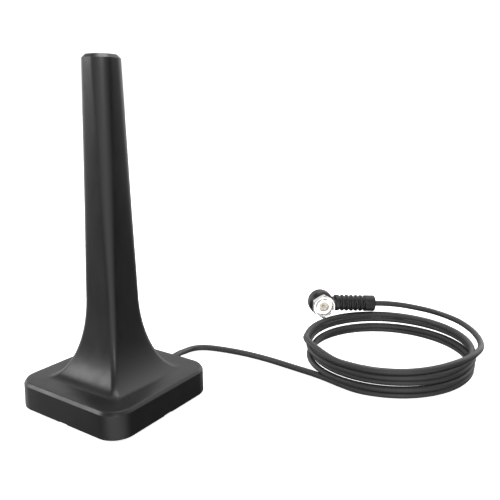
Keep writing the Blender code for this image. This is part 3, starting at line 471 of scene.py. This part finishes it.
def apply_modifiers(thing):
    """Put the evaluated mesh in place of the object's own."""
    graph = bpy.context.evaluated_depsgraph_get()
    mesh = bpy.data.meshes.new_from_object(thing.evaluated_get(graph))
    thing.modifiers.clear()
    thing.data = mesh


def block(low, high):
    """A box between two corners, as a cutter."""
    bm = bmesh.new()
    bmesh.ops.create_cube(bm, size=1.0)
    bmesh.ops.scale(bm, vec=Vector(high) - Vector(low), verts=bm.verts)
    bmesh.ops.translate(bm, vec=(Vector(high) + Vector(low)) / 2, verts=bm.verts)
    return finish_mesh("block", bm, None)


def through(before, start, stop, after, t):
    """A point between start and stop, on the smooth curve that also passes before and after."""
    return 0.5 * (2 * start + (stop - before) * t
                  + (2 * before - 5 * start + 4 * stop - after) * t ** 2
                  + (3 * start - before - 3 * stop + after) * t ** 3)


def smooth_points(route, spacing):
    """Evenly spaced points on a smooth curve through the route."""
    ends = [2 * route[0] - route[1], *route, 2 * route[-1] - route[-2]]
    fine = []
    for before, start, stop, after in zip(ends, ends[1:], ends[2:], ends[3:]):
        for step in range(16):
            fine.append(through(before, start, stop, after, step / 16))
    fine.append(route[-1].copy())
    lengths = [0.0]
    for first, second in zip(fine, fine[1:]):
        lengths.append(lengths[-1] + (second - first).length)
    count = round(lengths[-1] / spacing)
    points = []
    place = 0
    for step in range(count + 1):
        target = lengths[-1] * step / count
        while place < len(fine) - 2 and lengths[place + 1] < target:
            place += 1
        span = lengths[place + 1] - lengths[place]
        points.append(fine[place].lerp(fine[place + 1], (target - lengths[place]) / span))
    return points, lengths[-1]


def smoothstep(value, low, high):
    """0 below low, 1 above high and an even rise between."""
    t = min(1.0, max(0.0, (value - low) / (high - low)))
    return t * t * (3 - 2 * t)


def stand_for(thing, body, slot, *nodes):
    """A finished piece: it rides on its body and replaces its CAD nodes. Its slot is not used."""
    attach(thing, body)
    if nodes:
        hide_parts(*nodes)
    return thing


# ---------------------------------------------------------------- camera

def make_camera():
    """The camera at its place, turned by its azimuth, pitch and roll."""
    data = bpy.data.cameras.new("camera")
    data.sensor_width = SENSOR_WIDTH
    data.lens = LENS
    data.clip_start = 0.01
    camera = bpy.data.objects.new("camera", data)
    bpy.context.scene.collection.objects.link(camera)
    forward = Vector((-math.sin(CAMERA_AZIMUTH) * math.cos(CAMERA_PITCH),
                      math.cos(CAMERA_AZIMUTH) * math.cos(CAMERA_PITCH), -math.sin(CAMERA_PITCH)))
    right = Vector((math.cos(CAMERA_AZIMUTH), math.sin(CAMERA_AZIMUTH), 0))
    up = right.cross(forward)
    tilted_right = right * math.cos(CAMERA_ROLL) + up * math.sin(CAMERA_ROLL)
    tilted_up = up * math.cos(CAMERA_ROLL) - right * math.sin(CAMERA_ROLL)
    turn = Matrix((tilted_right, tilted_up, -forward)).transposed().to_4x4()
    camera.matrix_world = Matrix.Translation(CAMERA_PLACE) @ turn
    bpy.context.scene.camera = camera


# ---------------------------------------------------------------- lead

def coil_point(turns):
    """A point of the wound turns, from 0 at their start: the places come at every half turn."""
    place = (turns - COIL_FIRST) / 0.5
    index = int(place)
    before = COIL_PLACES[index - 1] if index else 2 * COIL_PLACES[0] - COIL_PLACES[1]
    radius, height = through(before, *COIL_PLACES[index:index + 3], place - index)
    angle = COIL_START + math.tau * turns
    radius += COIL_OVAL * math.cos(2 * (angle - COIL_OVAL_ANGLE))
    return COIL_CENTRE + Vector((radius * math.cos(angle), radius * math.sin(angle), height))


def make_lead():
    """The free lead as one cord: out of the grommet, round the coil and up into the boot."""
    per_turn = 24
    first, last = 2, COIL_TURNS * per_turn - 1
    wound = [coil_point(step / per_turn) for step in range(first, last + 1)]
    points, length = smooth_points(LEAD_ROUTE + wound + TAIL_ROUTE, 2.2 * MM)
    curve = bpy.data.curves.new("coaxial_lead", "CURVE")
    curve.dimensions = "3D"
    curve.bevel_depth = CORD_RADIUS
    curve.bevel_resolution = 8
    curve.use_fill_caps = True
    spline = curve.splines.new("POLY")
    spline.points.add(len(points) - 1)
    for target, point in zip(spline.points, points):
        target.co = (*point, 1.0)
    curve.materials.append(MATERIALS["cord_jacket"])
    lead = bpy.data.objects.new("coaxial_lead", curve)
    bpy.context.scene.collection.objects.link(lead)
    stand_for(lead, "antenna", "cord_jacket", "cord_lead", "cord_coil", "cord_tail", "plug_inner_lead")
    return lead, length


# ---------------------------------------------------------------- antenna body

def mast_half(height):
    """Half the mast's width, which grows evenly from its top down."""
    top = MAST_TOP - MAST_CHAMFER
    share = (top - height) / (top - FLARE_START)
    return MAST_HALF_TOP + (MAST_HALF_LOW - MAST_HALF_TOP) * share


def mast_corner(height):
    """The radius of the mast's corners, sharpest from the flare down."""
    top = MAST_TOP - MAST_CHAMFER
    share = min(1.0, (top - height) / (top - FLARE_START))
    return MAST_CORNER_TOP + (MAST_CORNER_LOW - MAST_CORNER_TOP) * share


def mast_crown(height):
    """How far each of the mast's faces bulges: flat at the foot, full from the middle up."""
    return MAST_CROWN * smoothstep(height, CROWN_START, CROWN_FULL)


def flare_rings(drop, inset, foot, steps):
    """The elliptical flare from its foot up, lowered by drop and moved in by inset."""
    start = FLARE_START - drop
    foot_angle = math.asin(min(1.0, (start - foot) / FLARE_DEPTH))
    rings = []
    for step in range(steps, -1, -1):
        angle = foot_angle * step / steps
        height = start - FLARE_DEPTH * math.sin(angle)
        half = mast_half(height) - inset + FLARE_REACH * (1 - math.cos(angle))
        rings.append(rounded_square(half, max(mast_corner(height) - inset * 0.6, MM), height))
    return rings


def make_housing():
    """Mast, flare and base shell, with its rim rolled under, its notches and the lead's hole."""
    def ring(half, corner, height, crown=0.0):
        half += CROWN_LIFT * crown
        share = crown / half
        return [Vector((point.x * (1 - share * (point.y / half) ** 2),
                        point.y * (1 - share * (point.x / half) ** 2), point.z))
                for point in rounded_square(half, corner, height)]

    inner_top = MAST_TOP - WALL
    inner = [ring(mast_half(inner_top) - WALL, mast_corner(inner_top) - WALL, inner_top)]
    inner += reversed(flare_rings(WALL, WALL, DECK_UNDERSIDE, 12))
    inner += [ring(CAVITY_HALF, CAVITY_CORNER, DECK_UNDERSIDE),
              ring(CAVITY_HALF, CAVITY_CORNER, LEDGE_HEIGHT),
              ring(LEDGE_HALF, CAVITY_CORNER + 0.8 * MM, LEDGE_HEIGHT),
              ring(LEDGE_HALF, CAVITY_CORNER + 0.8 * MM, RIM_BOTTOM + 0.1 * MM),
              ring(LEDGE_HALF + 0.1 * MM, CAVITY_CORNER + 0.9 * MM, RIM_BOTTOM)]
    outer = []
    for step in range(7):
        angle = math.radians(90 * step / 6)
        inset = RIM_ROUND * (1 - math.sin(angle))
        outer.append(ring(BASE_HALF - inset, BASE_CORNER - inset,
                          RIM_BOTTOM + RIM_ROUND * (1 - math.cos(angle))))
    half = BASE_HALF - WALL_DRAFT
    edge = soften([(0.01 * MM, WALL_MIDDLE), (0.01 * MM, BASE_TOP - DECK_CHAMFER_DROP),
                   (DECK_CHAMFER, BASE_TOP), (DECK_CHAMFER + 3 * MM, BASE_TOP)], DECK_ROUND)
    for inset, height in edge:
        outer.append(ring(half - inset, BASE_CORNER - WALL_DRAFT - inset, height))
    outer += flare_rings(0.0, 0.0, BASE_TOP, 48)
    top_foot = MAST_TOP - MAST_CHAMFER
    for step in range(1, 24):
        height = FLARE_START + (top_foot - 0.3 * MM - FLARE_START) * step / 23
        outer.append(ring(mast_half(height), mast_corner(height), height, mast_crown(height)))
    for inset, drop in MAST_BEVEL:
        outer.append(ring(MAST_HALF_TOP - inset, MAST_CORNER_TOP - inset, MAST_TOP - drop, MAST_CROWN))
    bm = bmesh.new()
    rings = [[bm.verts.new(point) for point in points] for points in inner + outer]
    join_rings(bm, rings)
    bm.faces.new(rings[0])
    centre = bm.verts.new((0, 0, MAST_TOP))
    for index, vertex in enumerate(rings[-1]):
        bm.faces.new((vertex, rings[-1][(index + 1) % len(rings[-1])], centre))
    housing = finish_mesh("mast_shell", bm, "housing_plastic", 40.0)
    top = RIM_BOTTOM + NOTCH_HEIGHT
    reach = BASE_HALF + MM
    length = NOTCH_LENGTH / 2
    for low, high in (((-length, -reach, 0), (length, -LEDGE_HALF + MM, top)),
                      ((LEDGE_HALF - MM, -length, 0), (reach, length, top)),
                      ((-reach, -length, 0), (-LEDGE_HALF + MM, length, top))):
        cut(housing, block(low, high))
    hole_turn = Matrix.Translation((0, 0, EXIT.z)) @ Matrix.Rotation(math.radians(-90), 4, "X")
    hole = [(0, HOLE_OUTER), (HOLE_RADIUS, HOLE_OUTER), (HOLE_RADIUS, HOLE_INNER), (0, HOLE_INNER)]
    cut(housing, lathe("hole", hole, None, 64, hole_turn))
    housing.data.set_sharp_from_angle(angle=math.radians(40.0))
    stand_for(housing, "antenna", "housing_plastic", "mast_housing")


def make_feet():
    """Four moulded rubber feet with a rolled edge and a shallow dished ring."""
    profile = soften([(0, FOOT_TOP), (FOOT_RADIUS, FOOT_TOP), (FOOT_RADIUS, 0.42 * MM),
                      (FOOT_RADIUS - 0.42 * MM, 0.0), (3.1 * MM, 0.0), (2.9 * MM, 0.14 * MM),
                      (2.3 * MM, 0.14 * MM), (2.1 * MM, 0.0), (0, 0)], 0.12 * MM)
    places = [(x, y) for x in (1, -1) for y in (1, -1)]
    for index, (x, y) in enumerate(places, 1):
        place = Matrix.Translation((x * CORNER_POST, y * CORNER_POST, 0))
        foot = lathe(f"rubber_foot_{index}", profile, "soft_rubber", 64, place)
        stand_for(foot, "antenna", "soft_rubber", f"foot_{index}")


def make_grommet():
    """Strain-relief grommet: flange, stepped and tapered nose, and its rounded mouth."""
    inside = CAVITY_HALF - GAP
    outside = BASE_HALF + GAP
    profile = soften([(GROMMET_BORE, EXIT.y), (2.05 * MM, EXIT.y), (2.1 * MM, 35.3 * MM),
                      (1.95 * MM, 35.1 * MM), (1.95 * MM, 34.5 * MM), (2.2 * MM, 34.3 * MM),
                      (2.25 * MM, 33.5 * MM), (2.05 * MM, 33.3 * MM), (2.05 * MM, 32.7 * MM),
                      (2.3 * MM, 32.5 * MM), (2.4 * MM, outside + GROMMET_FLANGE_DEPTH),
                      (GROMMET_FLANGE, outside + 1.1 * MM), (GROMMET_FLANGE, outside),
                      (GROMMET_NECK, outside), (GROMMET_NECK, inside), (GROMMET_FLANGE, inside),
                      (GROMMET_FLANGE, inside - GROMMET_FLANGE_DEPTH),
                      (GROMMET_BORE, inside - GROMMET_FLANGE_DEPTH)], 0.15 * MM, closed=True)
    place = Matrix.Translation((0, 0, EXIT.z)) @ Matrix.Rotation(math.radians(-90), 4, "X")
    grommet = lathe("lead_grommet", profile, "soft_rubber", 72, place, closed=True)
    return stand_for(grommet, "antenna", "soft_rubber", "cable_grommet")


# ---------------------------------------------------------------- plug

def axis_matrix(direction):
    """The plug's centre with Z along a direction."""
    return Matrix.Translation(PLUG_CENTRE) @ direction.to_track_quat("Z", "Y").to_matrix().to_4x4()


NUT_AXIS = axis_matrix(Vector((math.cos(NUT_ANGLE), math.sin(NUT_ANGLE), 0)))
BOOT_AXIS = axis_matrix(Vector((math.cos(BOOT_ANGLE) * math.cos(BOOT_DROOP),
                                math.sin(BOOT_ANGLE) * math.cos(BOOT_DROOP), -math.sin(BOOT_DROOP))))


def make_elbow():
    """Overmoulded elbow: a rounded drum with its neck blended in, bored for the post and the lead."""
    drum = [(0, COLLAR_FRONT), (COLLAR_RADIUS - 0.2 * MM, COLLAR_FRONT),
            (COLLAR_RADIUS, COLLAR_FRONT - 0.2 * MM),
            (COLLAR_RADIUS, ELBOW_SHOULDER + 0.1 * MM), (COLLAR_RADIUS + 0.1 * MM, ELBOW_SHOULDER),
            (SHOULDER_RADIUS - 0.15 * MM, ELBOW_SHOULDER), (SHOULDER_RADIUS, ELBOW_SHOULDER - 0.2 * MM),
            (ELBOW_RADIUS - 0.45 * MM, ELBOW_SHOULDER - 1.1 * MM),
            (ELBOW_RADIUS - 0.1 * MM, ELBOW_SHOULDER - 1.6 * MM),
            (ELBOW_RADIUS, ELBOW_SHOULDER - 2.4 * MM), (ELBOW_RADIUS, -2.3 * MM),
            (ELBOW_RADIUS - 0.25 * MM, -3.4 * MM), (ELBOW_RADIUS - 0.9 * MM, -4.45 * MM),
            (ELBOW_RADIUS - 1.9 * MM, -5.1 * MM), (ELBOW_RADIUS - 3.1 * MM, -5.45 * MM), (0, -ELBOW_BACK)]
    elbow = lathe("angle_body", drum, "plug_plastic", 96, NUT_AXIS)
    neck = [(0, 1.0 * MM), (NECK_RADIUS, 1.0 * MM), (NECK_RADIUS, NECK_END - 0.2 * MM),
            (NECK_RADIUS - 0.2 * MM, NECK_END), (0, NECK_END)]
    cut(elbow, lathe("neck", neck, None, 96, BOOT_AXIS), "UNION")
    remesh = elbow.modifiers.new("blend", "REMESH")
    remesh.mode = "VOXEL"
    remesh.voxel_size = BLEND_VOXEL
    relax = elbow.modifiers.new("relax", "SMOOTH")
    relax.factor = 0.5
    relax.iterations = 6
    apply_modifiers(elbow)
    post = [(0, 6 * MM), (POST_RADIUS + GAP, 6 * MM), (POST_RADIUS + GAP, -3 * MM), (0, -3 * MM)]
    cut(elbow, lathe("post_bore", post, None, 96, NUT_AXIS))
    bore = [(0, 9 * MM), (FERRULE_RADIUS + GAP, 9 * MM), (FERRULE_RADIUS + GAP, 0), (0, 0)]
    cut(elbow, lathe("lead_bore", bore, None, 96, BOOT_AXIS))
    elbow.data.shade_smooth()
    elbow.data.set_sharp_from_angle(angle=math.radians(50.0))
    elbow.data.materials.clear()
    elbow.data.materials.append(MATERIALS["plug_plastic"])
    return stand_for(elbow, "antenna", "plug_plastic", "plug_elbow")


def make_boot():
    """Ribbed boot with a smooth collar at the lead's end, hollow for the ferrule."""
    start = NECK_END + GAP
    rib_top = RIB_START + RIB_COUNT * RIB_PITCH
    profile = [(CORD_RADIUS + GAP, BOOT_END), (BOOT_RADIUS - 0.25 * MM, BOOT_END),
               (BOOT_RADIUS, BOOT_END - 0.25 * MM), (BOOT_RADIUS, rib_top)]
    for index in range(RIB_COUNT):
        top = rib_top - index * RIB_PITCH
        profile += [(BOOT_GROOVE, top - 0.2 * RIB_PITCH), (BOOT_GROOVE, top - 0.46 * RIB_PITCH),
                    (BOOT_RADIUS, top - 0.66 * RIB_PITCH)]
        if index < RIB_COUNT - 1:
            profile.append((BOOT_RADIUS, top - RIB_PITCH))
    profile += [(BOOT_RADIUS, start + 0.25 * MM), (BOOT_RADIUS - 0.25 * MM, start),
                (FERRULE_RADIUS + GAP, start), (FERRULE_RADIUS + GAP, FERRULE_ROOM_END),
                (CORD_RADIUS + GAP, FERRULE_ROOM_END)]
    profile = soften(profile, 0.25 * MM, closed=True)
    boot = lathe("ribbed_boot", profile, "plug_plastic", 96, BOOT_AXIS, closed=True)
    return stand_for(boot, "antenna", "plug_plastic", "plug_boot")


def make_contact():
    """Post with its flange, stepped insulator and tapered pin."""
    bore = INSULATOR_RADIUS + 0.12 * MM
    post = soften([(POST_FLANGE_RADIUS, POST_FLANGE_FACE), (POST_FLANGE_RADIUS, POST_FLANGE_BACK),
                   (POST_RADIUS, POST_FLANGE_BACK), (POST_RADIUS, POST_BACK), (bore, POST_BACK),
                   (bore, POST_FLANGE_FACE)], 0.18 * MM, closed=True)
    post = lathe("flanged_post", post, "nickel", 96, NUT_AXIS, closed=True)
    stand_for(post, "antenna", "nickel", "plug_post")
    face = INSULATOR_FACE
    insulator = soften([(INSULATOR_RADIUS, face), (INSULATOR_RADIUS, INSULATOR_BACK),
                        (0.62 * MM, INSULATOR_BACK), (0.62 * MM, face - 0.35 * MM),
                        (0.85 * MM, face - 0.1 * MM), (1.1 * MM, face - 0.1 * MM),
                        (1.2 * MM, face - 0.3 * MM), (1.5 * MM, face - 0.3 * MM),
                        (1.6 * MM, face)], 0.08 * MM, closed=True)
    insulator = lathe("moulded_insulator", insulator, "insulator_cream", 96, NUT_AXIS, closed=True)
    stand_for(insulator, "antenna", "insulator_cream", "plug_insulator")
    pin = [(0, PIN_TIP), (0.16 * MM, PIN_TIP - 0.03 * MM), (0.28 * MM, PIN_TIP - 0.14 * MM),
           (0.42 * MM, PIN_TIP - 0.5 * MM), (0.48 * MM, PIN_TIP - 0.8 * MM), (PIN_RADIUS, PIN_TIP - 1.1 * MM),
           (PIN_RADIUS, PIN_BACK), (0, PIN_BACK)]
    pin = lathe("pointed_pin", pin, "nickel", 48, NUT_AXIS)
    stand_for(pin, "antenna", "nickel", "centre_pin")
    return [post, insulator, pin]


def make_nut():
    """Hexagonal nut: both faces chamfered so that the flats end in arcs, and a helical thread inside."""
    lip = POST_FLANGE_BACK - GAP
    thread_start = NUT_FACE - THREAD_SINK
    bm = bmesh.new()
    columns = []
    for step in range(NUT_STEPS):
        angle = math.tau * step / NUT_STEPS
        flat = (angle + math.radians(30)) % math.radians(60) - math.radians(30)
        across = min(NUT_AF / 2 / math.cos(flat), NUT_CORNER)
        rise = across - NUT_FACE_RADIUS
        profile = [(NUT_FACE_RADIUS, NUT_FACE),
                   (across - 0.3 * rise, NUT_FACE - 0.64 * rise * NUT_FRONT_SLOPE),
                   (across, NUT_FACE - rise * NUT_FRONT_SLOPE - 0.05 * MM),
                   (across, NUT_BACK + rise * NUT_BACK_SLOPE + 0.12 * MM),
                   (across - 0.06 * MM, NUT_BACK + rise * NUT_BACK_SLOPE * 0.9),
                   (NUT_FACE_RADIUS - 0.12 * MM, NUT_BACK + 0.02 * MM),
                   (NUT_FACE_RADIUS - 0.3 * MM, NUT_BACK),
                   (POST_RADIUS + GAP + 0.1 * MM, NUT_BACK), (POST_RADIUS + GAP, NUT_BACK + 0.1 * MM),
                   (POST_RADIUS + GAP, lip), (NUT_BORE, lip)]
        for row in range(THREAD_ROWS + 1):
            height = lip + 0.02 * MM + (thread_start - lip - 0.02 * MM) * row / THREAD_ROWS
            phase = ((height - lip) / THREAD_PITCH - step / NUT_STEPS) % 1.0
            depth = THREAD_DEPTH * min(1.0, max(0.0, 2.4 * (0.5 - abs(phase - 0.5)) - 0.1))
            depth *= min(1.0, (height - lip) / (0.3 * MM)) * min(1.0, (thread_start - height) / (0.2 * MM))
            profile.append((NUT_BORE + depth, height))
        profile.append((NUT_BORE + 0.2 * MM, NUT_FACE - 0.1 * MM))
        profile.append((NUT_BORE + 0.26 * MM, NUT_FACE))
        columns.append([bm.verts.new((radius * math.cos(angle), radius * math.sin(angle), height))
                        for radius, height in profile])
    rings = list(zip(*columns))
    join_rings(bm, rings, close=True)
    bm.transform(NUT_AXIS)
    nut = finish_mesh("hexagon_nut", bm, "nickel", 20.0)
    return stand_for(nut, "coupling_nut", "nickel", "coupling_nut")


# ---------------------------------------------------------------- room

def area_light(name, place, target, size, power):
    """A rectangular soft light aimed at a point."""
    data = bpy.data.lights.new(name, "AREA")
    data.shape = "RECTANGLE"
    data.size, data.size_y = size
    data.energy = power
    light = bpy.data.objects.new(name, data)
    light.location = place
    light.rotation_euler = (Vector(target) - Vector(place)).to_track_quat("-Z", "Y").to_euler()
    bpy.context.scene.collection.objects.link(light)


def camera_only(thing):
    """The object's own surfaces don't see this part of the stage, so it casts no light on them."""
    thing.visible_diffuse = False
    thing.visible_glossy = False
    thing.visible_transmission = False


def make_stage():
    """Pale floor and a plain white backdrop all round."""
    bm = bmesh.new()
    bmesh.ops.create_grid(bm, x_segments=1, y_segments=1, size=20.0)
    bmesh.ops.translate(bm, vec=(0, 0, -0.02 * MM), verts=bm.verts)
    material, tree, shader, coord = new_material("floor")
    cloud = remap(tree, noise(tree, coord, 3.0, 2.0), 0.3, 0.7, 0.0, 1.0)
    colour = mix_colour(tree, cloud, (0.84, 0.84, 0.84), (0.87, 0.87, 0.87))
    tree.links.new(colour, shader.inputs["Base Color"])
    shader.inputs["Roughness"].default_value = 0.8
    shader.inputs["Specular IOR Level"].default_value = 0.1
    shader.inputs["Emission Color"].default_value = (1.0, 1.0, 1.0, 1.0)
    shader.inputs["Emission Strength"].default_value = 0.8
    MATERIALS["floor"] = material
    floor = finish_mesh("floor", bm, "floor")
    bm = bmesh.new()
    bmesh.ops.create_uvsphere(bm, u_segments=48, v_segments=24, radius=19.0)
    material, _, shader, _ = new_material("backdrop")
    shader.inputs["Base Color"].default_value = (0.0, 0.0, 0.0, 1.0)
    shader.inputs["Emission Color"].default_value = (1.0, 1.0, 1.0, 1.0)
    shader.inputs["Emission Strength"].default_value = 1.1
    MATERIALS["backdrop"] = material
    backdrop = finish_mesh("backdrop", bm, "backdrop")
    backdrop.visible_shadow = False
    for thing in (floor, backdrop):
        camera_only(thing)


def make_light():
    """Surroundings that glow in a few directions, three softboxes and a small card by the plug's nut."""
    world = bpy.data.worlds.new("studio")
    bpy.context.scene.world = world
    world.use_nodes = True
    tree = world.node_tree
    direction = tree.nodes.new("ShaderNodeTexCoord").outputs["Generated"]
    level = None
    for toward, start, strength in LOBES:
        facing = tree.nodes.new("ShaderNodeVectorMath")
        facing.operation = "DOT_PRODUCT"
        facing.inputs[1].default_value = Vector(toward).normalized()
        tree.links.new(direction, facing.inputs[0])
        glow = remap(tree, facing.outputs["Value"], start, 1.0, LOBE_FLOOR, strength)
        level = add(tree, level, glow) if level else glow
    tree.links.new(level, tree.nodes["Background"].inputs["Strength"])
    tree.nodes["Background"].inputs["Color"].default_value = (1.0, 1.0, 1.0, 1.0)
    area_light("softbox", (-0.8, -0.73, 0.52), (0.0, -0.02, 0.02), (0.6, 0.55), 5.6)
    area_light("front_softbox", (0.74, -0.66, 0.5), (0.0, 0.0, 0.03), (0.4, 0.4), 2.0)
    area_light("top_softbox", (-0.1, 0.2, 1.1), (0.03, 0.06, 0.02), (0.5, 0.5), 4.5)
    area_light("nut_card", (0.073, 0.0854, 0.0092), (0.046, 0.1048, 0.0202), (0.03, 0.03), 0.0036)
    bpy.context.scene.view_settings.view_transform = "Standard"


# ---------------------------------------------------------------- the whole

make_camera()
lead, lead_length = make_lead()
make_housing()
make_feet()
grommet = make_grommet()
elbow = make_elbow()
boot = make_boot()
contact = make_contact()
nut = make_nut()
slots = {part["node"]: part["material_slot"] for part in frame["record"]["subparts"]}
for name, node in frame["nodes"].items():
    if not node.hide_render:
        node.data.materials.clear()
        node.data.materials.append(MATERIALS[slots[name]])
make_stage()
make_light()
